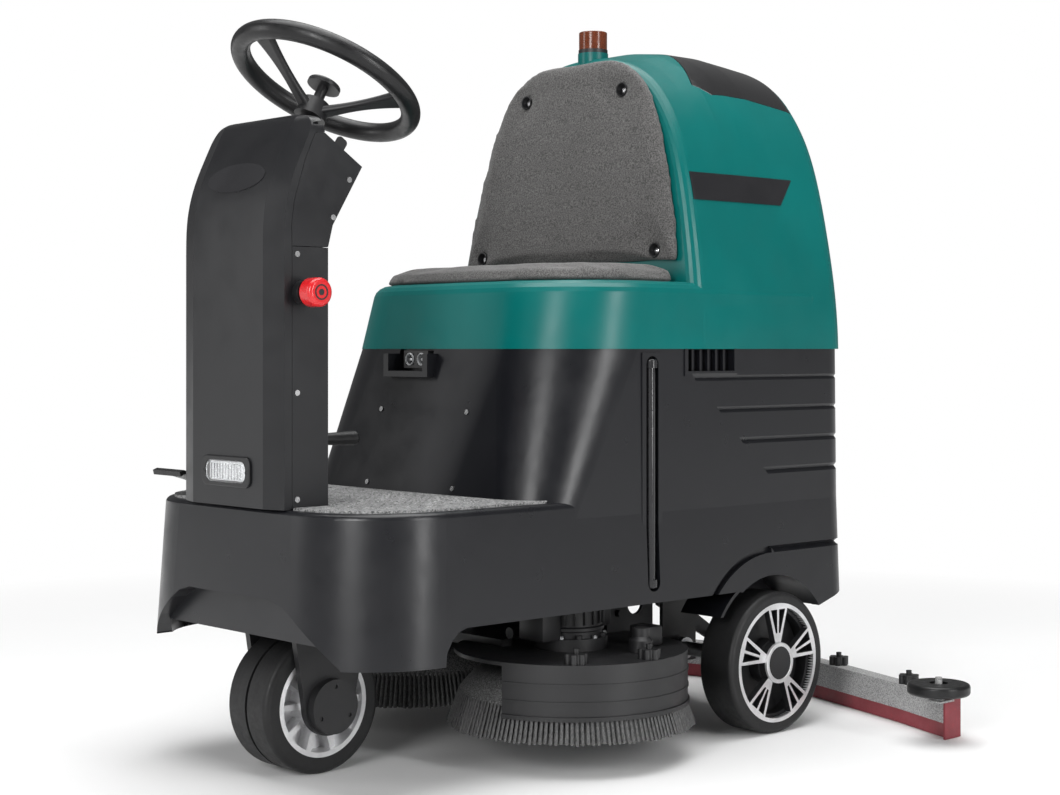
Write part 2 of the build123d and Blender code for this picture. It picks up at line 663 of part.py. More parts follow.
# ---------------------------------------------------------------- rear wheels
def spoke_pair(face, side, angle):
    """One flared spoke, pierced by two windows, turned about the rear axle."""
    with BuildSketch(Plane.YZ) as shape:
        with BuildLine():
            Polyline((34, -7), (34, 7), (100, 27), (100, -27), close=True)
        make_face()
        for flip in (1, -1):
            with BuildLine():
                Polyline((52, flip * 2), (52, flip * 6), (94, flip * 19.5), (94, flip * 2.6),
                         close=True)
            make_face(mode=Mode.SUBTRACT)
    turned_shape = Pos(face, aft(0), rear_wheel_r) * Rot(angle, 0, 0) * shape.sketch.face()
    return extrude(turned_shape, 12, dir=(-side, 0, 0), mode=Mode.PRIVATE)


for side, name in ((1, "left"), (-1, "right")):
    x_mid = side * rear_wheel_x
    half = rear_wheel_width / 2
    with BuildPart() as tyre:
        add(turned(ring_profile(rear_rim_r, rear_wheel_r, half, 9), x_mid, 0, rear_wheel_r))
    finish(tyre, f"rear_tyre_{name}")

    face = side * (rear_wheel_x + half)
    inner, outer = side * (rear_wheel_x - 30), face - side * 12.3
    rim = tube((x_mid - half, 0, rear_wheel_r), (x_mid + half, 0, rear_wheel_r),
               rear_rim_r, rear_rim_r - 7)
    for turn in range(5):
        rim += spoke_pair(face, side, 90 + 72 * turn)
    core = tube((inner, 0, rear_wheel_r), (outer, 0, rear_wheel_r), rear_rim_r - 7,
                12.5 + running)
    core -= tube((outer - side * 22, 0, rear_wheel_r), (outer, 0, rear_wheel_r), 92, 40)
    core += tube((outer, 0, rear_wheel_r), (face, 0, rear_wheel_r), 36, 12.5 + running)
    with BuildPart() as wheel:
        add(rim - core)
        add(core)
        add(rod((face + side * 0.4, 0, rear_wheel_r), (face + side * 4, 0, rear_wheel_r), 32))
    finish(wheel, f"rear_wheel_{name}")

# ---------------------------------------------------------------- brush deck
skirt_arc = (-78, 98)       # the splash skirt's span round the outer side of a brush


def sector(r_out, r_in, start, end, z_low, z_high, centre_x):
    """Part ring about a brush's axis, angles measured from the outward side."""
    with BuildSketch(Plane.XY.offset(z_low)) as ring:
        with BuildLine():
            outer = CenterArc((0, 0), r_out, start, end - start)
            inner = CenterArc((0, 0), r_in, start, end - start)
            Line(outer @ 0, inner @ 0)
            Line(outer @ 1, inner @ 1)
        make_face()
    ring_solid = extrude(ring.sketch.face(), z_high - z_low, mode=Mode.PRIVATE)
    if centre_x < 0:
        ring_solid = mirror(ring_solid, Plane.YZ, mode=Mode.PRIVATE)
    return Pos(centre_x, aft(brush_y), 0) * ring_solid


with BuildPart() as deck_plate:
    for side in (-1, 1):
        add(rod((side * brush_x, brush_y, deck_z), (side * brush_x, brush_y, deck_z + 6), 196))
    add(box((-brush_x, brush_x), (brush_y - 90, brush_y + 196), (deck_z, deck_z + 6)))
    for x, y in ((-brush_x, brush_y), (brush_x, brush_y)):
        add(rod((x, y, deck_z - 10), (x, y, deck_z + 20), 16), mode=Mode.SUBTRACT)
    for y in (brush_y - 90, brush_y + 156):
        add(box((-136, 136), (y, y + 24), (deck_z + 6, deck_z + 18)))
    # splash skirts with their ribs
    for x in (-brush_x, brush_x):
        add(sector(196, 191, *skirt_arc, 96, deck_z + 1, x))
        add(sector(199, 191, *skirt_arc, 91, 98, x))
        for z in (118, 146):
            add(sector(197.5, 191, *skirt_arc, z, z + 4, x))
    # upright lift brackets behind the motors
    for x in (-146, 140):
        add(extrude(side_face([
            (-236, deck_z + 5), (-200, deck_z + 5), (-196, 150), (-120, 150), (-120, 262),
            (-150, 276), (-214, 276), (-236, 236)], x), 6, mode=Mode.PRIVATE))
        add(rod((x - 1, -165, 226), (x + 7, -165, 226), 19), mode=Mode.SUBTRACT)
        add(rod((x - 1, -210, 212), (x + 7, -210, 212), 6), mode=Mode.SUBTRACT)
finish(deck_plate, "brush_deck")

with BuildPart() as motors:
    for side in (-1, 1):
        x = side * brush_x
        add(rod((x, brush_y, deck_z + 6.1), (x, brush_y, deck_z + 26), 62))
        add(rod((x, brush_y, deck_z + 26), (x, brush_y, deck_z + 104), 52))
        for turn in range(6):
            a = radians(60 * turn + 30)
            add(rod((x + 55 * cos(a), brush_y + 55 * sin(a), deck_z + 26),
                    (x + 55 * cos(a), brush_y + 55 * sin(a), deck_z + 32), 6))
        add(rod((x, brush_y, deck_z + 104), (x, brush_y, deck_z + 112), 30))
        add(rod((x, brush_y, deck_z), (x, brush_y, deck_z + 30), 10 + running),
            mode=Mode.SUBTRACT)
finish(motors, "brush_motors")


def star_knob(x, station, z, r=19, lobes=6, height=16):
    """Lobed hand knob on a short stud."""
    body = rod((x, station, z), (x, station, z + height), r * 0.74)
    for turn in range(lobes):
        a = radians(360 / lobes * turn)
        cx, cy = x + r * 0.7 * cos(a), station + r * 0.7 * sin(a)
        body += rod((cx, cy, z), (cx, cy, z + height), r * 0.3)
    return body + rod((x, station, z + height), (x, station, z + height + 8), 5)


with BuildPart() as deck_knobs:
    for side in (-1, 1):
        for angle in (-41, 2):
            a = radians(angle)
            add(star_knob(side * (brush_x + 176 * cos(a)), brush_y + 176 * sin(a), deck_z + 6.1))
finish(deck_knobs, "deck_star_knobs")

for side, name in ((1, "left"), (-1, "right")):
    x = side * brush_x
    with BuildPart() as block:
        add(rod((x, brush_y, 122), (x, brush_y, 150), 166))
        chamfer(block.faces().sort_by(Axis.Z)[-1].edges(), length=14)
        add(rod((x, brush_y, 150), (x, brush_y, 166), 42))
        add(rod((x, brush_y, 166), (x, brush_y, deck_z + 28), 10))
        add(rod((x, brush_y, 110), (x, brush_y, 140), 60), mode=Mode.SUBTRACT)
        ring = Solid.make_cone(brush_r, 164, 66.8, Plane((x, aft(brush_y), 55)))
        ring -= Solid.make_cone(104, 92, 66.8, Plane((x, aft(brush_y), 55)))
        add(ring)
    finish(block, f"brush_{name}")

# ---------------------------------------------------------------- squeegee
squeegee_line = [(0, 355), (175, 309), (427, 229), (572, 172)]
roller_x, roller_y, roller_z = 572.0, 150.0, 82.0


def squeegee_strip(front, back, z_low, z_high, end_x=572):
    """V-shaped strip; front and back are distances along Y from the blade line."""
    def course(shift):
        left = [(-x, aft(y + shift)) for x, y in reversed(squeegee_line[1:])]
        return left + [(x, aft(y + shift)) for x, y in squeegee_line]
    with BuildSketch(Plane.XY.offset(z_low)) as plan:
        with BuildLine():
            Polyline(*course(front), *reversed(course(back)), close=True)
        make_face()
        with Locations((0, aft(300))):
            Rectangle(2 * end_x, 500, mode=Mode.INTERSECT)
    return extrude(plan.sketch, z_high - z_low, mode=Mode.PRIVATE)


with BuildPart() as squeegee_body:
    add(squeegee_strip(0, 34, 66, 72, 570))
    add(squeegee_strip(0, 5, 27, 72, 570))
    add(squeegee_strip(29, 34, 30, 72, 570))
    add(box((-75, 75), (330, 406), (70, 78)))
    add(rod((0, 368, 77), (0, 368, 84), 30))
    add(rod((0, 368, 70), (0, 368, 150), 25))
    add(rod((0, 368, 60), (0, 368, 160), 21.5), mode=Mode.SUBTRACT)
    add(squeegee_strip(38.2, 41, 34, 62, 565))
    # posts of the end rollers
    for x in (-roller_x, roller_x):
        add(rod((x, roller_y, 66), (x, roller_y, 112), 6))
        add(box((x - 14, x + 14), (roller_y - 14, roller_y + 26), (68.5, 72)))
        add(rod((x, roller_y, 72), (x, roller_y, 81.5), 10))
finish(squeegee_body, "squeegee_body")

with BuildPart() as blades:
    add(squeegee_strip(5.2, 9.2, 1, 62, 572))
    add(squeegee_strip(34.2, 38, 0.5, 60, 570))
    for side in (-1, 1):
        x_low, x_high = sorted((side * 570.3, side * 574.3))
        add(box((x_low, x_high), (172 - 6, 172 + 40), (1, 68)))
finish(blades, "squeegee_blades")

with BuildPart() as squeegee_knobs:
    for side in (-1, 1):
        for x, y in ((226, 312), (440, 243)):
            add(star_knob(side * x, y + 2, 72.1))
finish(squeegee_knobs, "squeegee_star_knobs")


for side, name in ((1, "left"), (-1, "right")):
    with BuildPart() as roller:
        x = side * roller_x
        add(rod((x, roller_y, roller_z), (x, roller_y, roller_z + 20), 54))
        fillet(roller.edges().filter_by(GeomType.CIRCLE), radius=6)
        add(rod((x, roller_y, roller_z + 16), (x, roller_y, roller_z + 30), 16),
            mode=Mode.SUBTRACT)
        add(rod((x, roller_y, roller_z - 1), (x, roller_y, roller_z + 40), 6 + running),
            mode=Mode.SUBTRACT)
    finish(roller, f"squeegee_roller_{name}")

with BuildPart() as squeegee_arm:
    for side in (-1, 1):
        x_low = min(side * 60, side * 68)
        extrude(side_face([(108, 186), (132, 208), (300, 100), (406, 84), (406, 78.1),
                           (290, 78.1), (112, 176)], x_low), 8)
        add(rod((side * 58, *arm_pivot), (side * 70, *arm_pivot), 16))
    add(box((-68, 68), (399, 406), (78.1, 84)))
    add(box((-68, 68), (250, 262), (100, 112)))
    add(rod((-80, *arm_pivot), (80, *arm_pivot), 8 + running), mode=Mode.SUBTRACT)
finish(squeegee_arm, "squeegee_arm")

with BuildPart() as swing_yoke:
    add(rod((-72, *arm_pivot), (72, *arm_pivot), 8))
    add(box((-50, 50), (arm_pivot[0] - 14, arm_pivot[0] + 14), (182, 210)))
    add(rod((0, arm_pivot[0], 210), (0, arm_pivot[0], 300), 14))
finish(swing_yoke, "squeegee_swing_yoke")

# ---------------------------------------------------------------- recovery tank
tank_arch = [(-321, 0), (-312, 115), (-294, 220), (-271, 320), (-243, 400), (-214, 452),
             (-180, 494), (-126, 532), (-66, 552), (0, 558)]    # x, height above the seam
back_lean = 4.3             # lean of the backrest, in degrees
back_foot = -198.0          # station of the tank's front face at the seam
crown_z = 1238.0


def arch_face(station, lean, inset, crown):
    """Arched section of the housing, inset evenly from the full outline."""
    plane = Plane((0, aft(station), seam_z), x_dir=(1, 0, 0),
                  z_dir=(0, -cos(radians(lean)), sin(radians(lean))))
    wide = 1 - inset / -tank_arch[0][0]
    tall = (crown - seam_z - inset) / tank_arch[-1][1]
    points = [(x * wide, z * tall) for x, z in tank_arch]
    with BuildSketch(plane) as arch:
        with BuildLine():
            over = Spline(*points, *[(-x, z) for x, z in reversed(points[:-1])])
            Line(over @ 1, over @ 0)
        make_face()
    return arch.sketch.face()


def tank_form(t):
    """Housing behind the seat, rounded front and back, t inside its outer surface."""
    front_r, rear_r = 26.0, 46.0
    sections = []
    for step in range(7):
        a = radians(15 * step)
        sections.append((back_foot + front_r * (1 - cos(a)), back_lean - 0.15 * step,
                         front_r * (1 - sin(a)), 1212 + 0.6 * step))
    sections += [(-120, 2, 0, 1222), (-60, 1, 0, 1233), (0, 0, 0, crown_z), (60, 0, 0, crown_z),
                 (130, 0, 0, 1231)]
    for step in range(9):
        a = radians(11.25 * step)
        sections.append((tank_rear - rear_r * (1 - sin(a)), 0, rear_r * (1 - cos(a)),
                         1226 - 0.9 * step))
    last = len(sections) - 1
    return loft([
        arch_face(station + t * (1 - 2 * n / last), lean, inset + t, crown)
        for n, (station, lean, inset, crown) in enumerate(sections)],
        ruled=True, mode=Mode.PRIVATE)


def seat_deck_form(t):
    """Seat deck in front of the housing, with a rounded top edge."""
    edge_r = 20.0
    levels = [(seam_z, 0.0)] + [
        (seat_deck_z - edge_r * (1 - sin(radians(a))), edge_r * (1 - cos(radians(a))))
        for a in (0, 22.5, 45, 67.5, 90)]
    faces = []
    for z, inset in levels:
        k = (z - seam_z) / (seat_deck_z - seam_z)
        drop = t if z > seam_z else 0
        faces.append(plan_outline(z - drop, 321 - 7 * k - t - inset, -508 + 29 * k + t + inset,
                                  11, 170 - t - inset / 2, 150 - t, 30))
    return loft(faces, ruled=True, mode=Mode.PRIVATE)


lid_plan = [(-213, 186), (-213, -30), (-190, -65), (-75, -8), (0, 5), (75, -8), (190, -65),
            (207, -30), (212, 186)]
lid_axis = (-207.5, 1136.0)
lid_knuckles = (10, 76)
lid_pin = (2, 104)           # stations of the ends of the lid's hinge pin


def lid_prism(points):
    """Upright prism through the housing's top from an (x, station) outline."""
    with BuildSketch(Plane.XY.offset(1080)) as plan:
        with BuildLine():
            Polyline(*[(x, aft(y)) for x, y in points], close=True)
        make_face()
    return extrude(plan.sketch.face(), 200, mode=Mode.PRIVATE)


tank_outside = tank_form(0)
pad_screw_spots = [(-126, 1143), (126, 1143), (-228, 851), (228, 851)]
back_plane = Plane((0, aft(back_foot), seam_z), x_dir=(1, 0, 0),
                   z_dir=(0, -cos(radians(back_lean)), sin(radians(back_lean))))
beacon_at = (0, -127)

with BuildPart() as tank_shell:
    add(tank_outside)
    add(seat_deck_form(0))
    add(rod((*beacon_at, 1190), (*beacon_at, 1227), 28))
    inside = seat_deck_form(tank_wall) + tank_form(tank_wall)
    floor = box((-400, 400), (-700, 400), (600, seam_z + tank_wall))
    divider = box((-400, 400), (-216, -208), (600, 790))
    add(inside - floor - divider, mode=Mode.SUBTRACT)
    add(lid_prism(lid_plan) - tank_form(8.5), mode=Mode.SUBTRACT)
    add(box((-150, 150), (20, 160), (1100, 1300)), mode=Mode.SUBTRACT)
    add(rod((*beacon_at, 1228), (*beacon_at, 1180), 6), mode=Mode.SUBTRACT)
    # pockets for the lid's knuckles and posts for the ends of its pin
    for y in lid_knuckles:
        add(box((-213, -194), (y - 0.5, y + 18.5), (1131, 1160)), mode=Mode.SUBTRACT)
    for y in (lid_pin[0] - 6, lid_pin[1]):
        add(box((-211, -204), (y, y + 6), (1116, 1138.5)))
finish(tank_shell, "recovery_tank_shell")

with BuildPart() as tank_lid:
    lid_edge = [(-203, 185.4), (-203, -20), (-184, -54), (-75, -6), (0, 6.4), (75, -6.4),
                (189.4, -62.8), (206.2, -29), (211.2, 185.4)]
    add(tank_outside & lid_prism(lid_edge))
    add(tank_form(5.5), mode=Mode.SUBTRACT)
    for y in lid_knuckles:
        add(rod((lid_axis[0], y, lid_axis[1]), (lid_axis[0], y + 18, lid_axis[1]), 3.8))
        add(box((lid_axis[0], -195), (y, y + 18), (lid_axis[1] - 2, lid_axis[1] + 9)) & tank_outside)
    add(rod((lid_axis[0], -20, lid_axis[1]), (lid_axis[0], 170, lid_axis[1]), 2 + running),
        mode=Mode.SUBTRACT)
finish(tank_lid, "tank_lid")

with BuildPart() as side_labels:
    sign = across([(-160, 940), (-158, 989), (112, 989), (68, 940)], 400)
    add(tank_form(-1.4) & sign)
    add(tank_form(-0.1), mode=Mode.SUBTRACT)
finish(side_labels, "side_label_blanks")

with BuildPart() as seat:
    add(extrude(plan_outline(seat_deck_z + 0.4, 282, -463, 11, 140, -206, 12), 24,
                mode=Mode.PRIVATE))
    fillet(seat.edges().group_by(Axis.Z)[-1], radius=8)
finish(seat, "seat_cushion")

with BuildPart() as backrest:
    with BuildSketch(back_plane.offset(1)):
        with BuildLine():
            crest = Spline((-275, 152), (-270, 195), (-254, 270), (-234, 345), (-208, 418),
                           (-180, 468), (-150, 498), (-110, 519), (0, 525),
                           (110, 519), (150, 498), (180, 468), (208, 418), (234, 345),
                           (254, 270), (270, 195), (275, 152))
            Line(crest @ 1, crest @ 0)
        make_face()
        with Locations(*[(x, (z - seam_z) / cos(radians(back_lean))) for x, z in pad_screw_spots]):
            Circle(11.5, mode=Mode.SUBTRACT)
    extrude(amount=16)
    fillet(backrest.faces().sort_by(Axis.Y)[0].outer_wire().edges(), radius=5)
finish(backrest, "backrest_cushion")

with BuildPart() as pad_screws:
    with BuildSketch(back_plane.offset(1)):
        with Locations(*[(x, (z - seam_z) / cos(radians(back_lean))) for x, z in pad_screw_spots]):
            Circle(11)
    extrude(amount=5)
    with BuildSketch(back_plane.offset(6)):
        with Locations(*[(x, (z - seam_z) / cos(radians(back_lean))) for x, z in pad_screw_spots]):
            Circle(5)
    extrude(amount=5)
finish(pad_screws, "backrest_screws")

with BuildPart() as beacon_base:
    add(rod((*beacon_at, 1227.1), (*beacon_at, 1234), 27))
finish(beacon_base, "beacon_base")

with BuildPart() as beacon_lens:
    add(rod((*beacon_at, 1234.1), (*beacon_at, 1267), 26))
    fillet(beacon_lens.edges().group_by(Axis.Z)[-1], radius=2)
    add(rod((*beacon_at, 1234), (*beacon_at, 1263), 23.5), mode=Mode.SUBTRACT)
finish(beacon_lens, "beacon_lens")

with BuildPart() as vacuum_motor:
    add(rod((0, -330, seam_z + tank_wall + 0.1), (0, -330, 712), 70))
    add(rod((0, -330, 712), (0, -330, 768), 58))
    add(rod((0, -330, 768), (0, -330, 778), 30))
finish(vacuum_motor, "vacuum_motor")

hinge_x, hinge_z = -326.0, seam_z
hinge_spots = (-60, 120)
with BuildPart() as chassis_leaves:
    for y in hinge_spots:
        add(rod((hinge_x, y, hinge_z), (hinge_x, y + 20, hinge_z), 4.6))
        add(box((-323.2, -320.6), (y, y + 20), (650, hinge_z)))
        add(rod((hinge_x, y - 20, hinge_z), (hinge_x, y + 40, hinge_z), 2.5 + running),
            mode=Mode.SUBTRACT)
    for y in hinge_spots:
        add(rod((hinge_x, y - 13, hinge_z), (hinge_x, y + 33, hinge_z), 2.5))
finish(chassis_leaves, "tank_hinge_lower")

with BuildPart() as tank_leaves:
    for y in hinge_spots:
        for start in (y - 12.4, y + 20.4):
            add(rod((hinge_x, start, hinge_z), (hinge_x, start + 12, hinge_z), 4.6))
            add(box((-323.6, -321.4), (start, start + 12), (hinge_z, 712)))
        add(rod((hinge_x, y - 20, hinge_z), (hinge_x, y + 40, hinge_z), 2.5 + running),
            mode=Mode.SUBTRACT)
    add(rod((lid_axis[0], lid_pin[0], lid_axis[1]), (lid_axis[0], lid_pin[1], lid_axis[1]), 2))
finish(tank_leaves, "tank_hinge_upper")

with BuildPart() as drain_ports:
    for x in (-150, 150):
        add(rod((x, 218.2, 292), (x, 232, 292), 26))
        add(rod((x, 232, 292), (x, 240, 292), 30))
finish(drain_ports, "drain_port_caps")
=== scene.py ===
"""Looks of the ride-on floor scrubber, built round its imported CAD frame. Lengths are in metres."""
import json
from math import cos, pi, radians, sin
from random import Random

import bmesh
import bpy
from mathutils import Matrix, Vector


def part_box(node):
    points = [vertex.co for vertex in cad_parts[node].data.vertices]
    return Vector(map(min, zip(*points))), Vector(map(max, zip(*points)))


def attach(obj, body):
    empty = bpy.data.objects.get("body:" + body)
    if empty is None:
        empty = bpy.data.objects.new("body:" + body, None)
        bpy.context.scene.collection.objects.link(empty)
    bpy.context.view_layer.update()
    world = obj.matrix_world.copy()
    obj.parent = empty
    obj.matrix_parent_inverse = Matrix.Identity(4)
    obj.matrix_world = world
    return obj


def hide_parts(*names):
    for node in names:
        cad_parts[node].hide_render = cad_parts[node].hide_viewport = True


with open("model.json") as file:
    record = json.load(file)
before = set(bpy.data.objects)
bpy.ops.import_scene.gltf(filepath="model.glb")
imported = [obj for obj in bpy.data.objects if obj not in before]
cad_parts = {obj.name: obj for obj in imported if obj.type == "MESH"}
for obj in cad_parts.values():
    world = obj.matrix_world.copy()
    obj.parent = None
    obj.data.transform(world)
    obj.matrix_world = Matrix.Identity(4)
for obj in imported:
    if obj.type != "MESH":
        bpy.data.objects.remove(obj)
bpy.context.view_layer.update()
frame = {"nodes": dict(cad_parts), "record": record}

MM = 0.001
chance = Random(7)
rear_low, rear_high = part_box("rear_tyre_left")
axle_y = (rear_low.y + rear_high.y) / 2


def aft(station):
    """Y of a station given in millimetres behind the rear axle."""
    return axle_y + station * MM


# ---------------------------------------------------------------- materials
class Surface:
    """A Principled material together with the texture nodes that feed it."""

    def __init__(self, name, rough, metallic=0.0, specular=0.5):
        self.material = bpy.data.materials.new(name)
        self.material.use_nodes = True
        self.tree = self.material.node_tree
        self.shader = self.tree.nodes["Principled BSDF"]
        self.shader.inputs["Metallic"].default_value = metallic
        self.shader.inputs["Roughness"].default_value = rough
        self.shader.inputs["Specular IOR Level"].default_value = specular
        self.place = self.tree.nodes.new("ShaderNodeTexCoord").outputs["Object"]
        self.normal = None

    def node(self, kind, **inputs):
        made = self.tree.nodes.new(kind)
        for key, value in inputs.items():
            made.inputs[key.replace("_", " ")].default_value = value
        return made

    def stretched(self, x, y, z):
        mapping = self.node("ShaderNodeMapping", Scale=(x, y, z))
        self.tree.links.new(self.place, mapping.inputs["Vector"])
        return mapping.outputs["Vector"]

    def noise(self, scale, detail=3.0, rough=0.5, place=None):
        made = self.node("ShaderNodeTexNoise", Scale=scale, Detail=detail, Roughness=rough)
        self.tree.links.new(place or self.place, made.inputs["Vector"])
        return made.outputs["Fac"]

    def cells(self, scale):
        made = self.node("ShaderNodeTexVoronoi", Scale=scale)
        self.tree.links.new(self.place, made.inputs["Vector"])
        return made.outputs["Distance"]

    def spread(self, value, low, high, to_low, to_high):
        """Map a value from low..high to another range, held at its ends."""
        made = self.tree.nodes.new("ShaderNodeMapRange")
        for key, number in (("From Min", low), ("From Max", high),
                            ("To Min", to_low), ("To Max", to_high)):
            made.inputs[key].default_value = number
        self.tree.links.new(value, made.inputs["Value"])
        return made.outputs["Result"]

    def blend(self, share, first, second):
        """Mix two colours, each a tuple or another node's output."""
        made = self.tree.nodes.new("ShaderNodeMix")
        made.data_type = "RGBA"
        self.tree.links.new(share, made.inputs[0])
        for socket, value in ((made.inputs[6], first), (made.inputs[7], second)):
            if isinstance(value, tuple):
                socket.default_value = (*value, 1.0)
            else:
                self.tree.links.new(value, socket)
        return made.outputs[2]

    def paint(self, color):
        self.tree.links.new(color, self.shader.inputs["Base Color"])

    def roughen(self, value):
        self.tree.links.new(value, self.shader.inputs["Roughness"])

    def bump(self, height, strength, depth):
        """Add one layer of relief, depth metres tall, over those before it."""
        made = self.node("ShaderNodeBump", Strength=strength, Distance=depth)
        self.tree.links.new(height, made.inputs["Height"])
        if self.normal:
            self.tree.links.new(self.normal, made.inputs["Normal"])
        self.normal = made.outputs["Normal"]
        self.tree.links.new(self.normal, self.shader.inputs["Normal"])

    def set(self, key, value):
        self.shader.inputs[key].default_value = value


def shade(color, factor):
    return tuple(channel * factor for channel in color)


def moulded(name, color, rough, peel=0.05, coat=0.0, specular=0.5):
    """Moulded plastic: cloudy colour, fine orange peel, scuffs and uneven gloss."""
    made = Surface(name, rough, specular=specular)
    cloud = made.noise(4.0, 4)
    scuff = made.noise(30, 6, 0.7, made.stretched(1, 1, 6))
    tone = made.blend(made.spread(cloud, 0.3, 0.7, 0, 1), shade(color, 0.88), shade(color, 1.12))
    made.paint(made.blend(made.spread(scuff, 0.66, 0.85, 0, 0.12), tone, shade(color, 1.5)))
    made.roughen(made.spread(made.noise(18, 5), 0.3, 0.7, rough - 0.04, rough + 0.06))
    made.bump(made.noise(260, 3), peel, 0.0004)
    made.bump(made.noise(7, 2), 0.05, 0.004)
    made.set("Coat Weight", coat)
    made.set("Coat Roughness", 0.12)
    return made.material


def speckled(name, dark, light, rough, scale, relief=0.35, sheen=0.0):
    """Salt-and-pepper skin with a fine pebble relief."""
    made = Surface(name, rough, specular=0.3)
    salt = made.noise(scale, 2, 0.6)
    patch = made.noise(9, 3)
    base = made.blend(made.spread(salt, 0.36, 0.64, 0, 1), dark, light)
    made.paint(made.blend(made.spread(patch, 0.35, 0.7, 0, 0.18), base, shade(dark, 0.8)))
    made.roughen(made.spread(salt, 0.3, 0.7, rough - 0.08, rough + 0.08))
    made.bump(made.cells(scale * 0.6), relief, 0.0006)
    made.bump(made.noise(scale * 1.4, 2), relief * 0.6, 0.0003)
    made.set("Sheen Weight", sheen)
    return made.material


def metal(name, color, rough, brushed=(1, 1, 1), metallic=1.0):
    """Bare or plated steel and aluminium: brushed streaks, haze and dull spots."""
    made = Surface(name, rough, metallic)
    streak = made.noise(420, 3, 0.6, made.stretched(*brushed))
    haze = made.noise(26, 5, 0.65)
    made.paint(made.blend(made.spread(haze, 0.35, 0.75, 0, 1), color, shade(color, 0.72)))
    made.roughen(made.spread(haze, 0.3, 0.7, rough - 0.06, rough + 0.14))
    made.bump(streak, 0.12, 0.0002)
    return made.material


def coated(name, color, rough):
    """Powder coat on steel: pebbled, with dust in the hollows."""
    made = Surface(name, rough)
    dust = made.noise(14, 5, 0.6)
    made.paint(made.blend(made.spread(dust, 0.5, 0.8, 0, 0.4), color, shade(color, 2.2)))
    made.roughen(made.spread(dust, 0.3, 0.8, rough, rough + 0.2))
    made.bump(made.cells(520), 0.12, 0.0003)
    return made.material


def rubber(name, color, rough, grain=420):
    """Matt rubber with bloom, fine grain and light scuffing."""
    made = Surface(name, rough, specular=0.35)
    bloom = made.noise(11, 5, 0.6)
    rub = made.noise(90, 4, 0.7)
    tone = made.blend(made.spread(bloom, 0.35, 0.7, 0, 1), shade(color, 0.8), shade(color, 1.3))
    made.paint(made.blend(made.spread(rub, 0.6, 0.75, 0, 0.3), tone, shade(color, 2.2)))
    made.roughen(made.spread(rub, 0.35, 0.7, rough - 0.08, rough + 0.1))
    made.bump(made.noise(grain, 3), 0.18, 0.0004)
    return made.material


def bristled(name, dark, light):
    """Nylon bristles: fine upright streaks of dark and light."""
    made = Surface(name, 0.5, specular=0.4)
    hair = made.noise(900, 2, 0.5, made.stretched(1, 1, 0.04))
    made.paint(made.blend(made.spread(hair, 0.35, 0.65, 0, 1), dark, light))
    made.roughen(made.spread(hair, 0.3, 0.7, 0.35, 0.65))
    made.bump(hair, 0.5, 0.0006)
    return made.material


haze_scale = 60.0


def clear(name, color, rough, transmission):
    """Clear or tinted plastic with a faint inner haze."""
    made = Surface(name, rough)
    haze = made.noise(haze_scale, 3)
    made.paint(made.blend(made.spread(haze, 0.3, 0.7, 0, 1), shade(color, 0.85), color))
    made.roughen(made.spread(haze, 0.3, 0.7, rough, rough + 0.08))
    made.bump(made.noise(haze_scale * 2, 2), 0.05, 0.0004)
    made.set("Transmission Weight", transmission)
    made.set("IOR", 1.46)
    return made.material


looks = {
    "shell_black": moulded("shell_black", (0.0062, 0.0065, 0.0085), 0.31, 0.05, 0.0, 0.45),
    "shell_teal": moulded("shell_teal", (0.0, 0.118, 0.110), 0.32, 0.04, 0.0, 0.3),
    "lid_black": moulded("lid_black", (0.011, 0.011, 0.012), 0.22, 0.03, 0.4),
    "column_black": moulded("column_black", (0.0058, 0.0061, 0.0076), 0.35, 0.06, 0.0),
    "knob_plastic": moulded("knob_plastic", (0.010, 0.010, 0.011), 0.4, 0.1),
    "grey_plastic": moulded("grey_plastic", (0.36, 0.37, 0.38), 0.42, 0.08),
    "stop_red": moulded("stop_red", (0.62, 0.012, 0.016), 0.28, 0.03, 0.3),
    "blank_dark": moulded("blank_dark", (0.012, 0.012, 0.014), 0.36, 0.02, 0.0),
    "frame_paint": coated("frame_paint", (0.010, 0.010, 0.011), 0.4),
    "zinc_steel": metal("zinc_steel", (0.55, 0.56, 0.57), 0.36, (1, 1, 8)),
    "bright_steel": metal("bright_steel", (0.78, 0.78, 0.79), 0.2),
    "wheel_silver": metal("wheel_silver", (0.78, 0.78, 0.79), 0.34, (8, 1, 1), 0.75),
    "tyre_rubber": rubber("tyre_rubber", (0.011, 0.011, 0.0115), 0.5),
    "grip_rubber": rubber("grip_rubber", (0.010, 0.010, 0.0105), 0.36, 600),
    "blade_rubber": rubber("blade_rubber", (0.22, 0.035, 0.045), 0.48),
    "seat_vinyl": speckled("seat_vinyl", (0.032, 0.031, 0.030), (0.135, 0.132, 0.130), 0.7, 420,
                           0.4, 0.15),
    "mat_grey": speckled("mat_grey", (0.06, 0.062, 0.063), (0.42, 0.42, 0.42), 0.7, 300, 0.6),
    "squeegee_casting": speckled("squeegee_casting", (0.19, 0.19, 0.19), (0.55, 0.55, 0.55),
                                 0.6, 520, 0.4),
    "bristle": bristled("bristle", (0.022, 0.022, 0.023), (0.125, 0.125, 0.125)),
    "tube_clear": clear("tube_clear", (0.02, 0.02, 0.022), 0.08, 0.1),
    "lamp_clear": clear("lamp_clear", (0.95, 0.96, 0.97), 0.06, 0.92),
    "beacon_amber": clear("beacon_amber", (0.24, 0.06, 0.025), 0.16, 0.45),
}

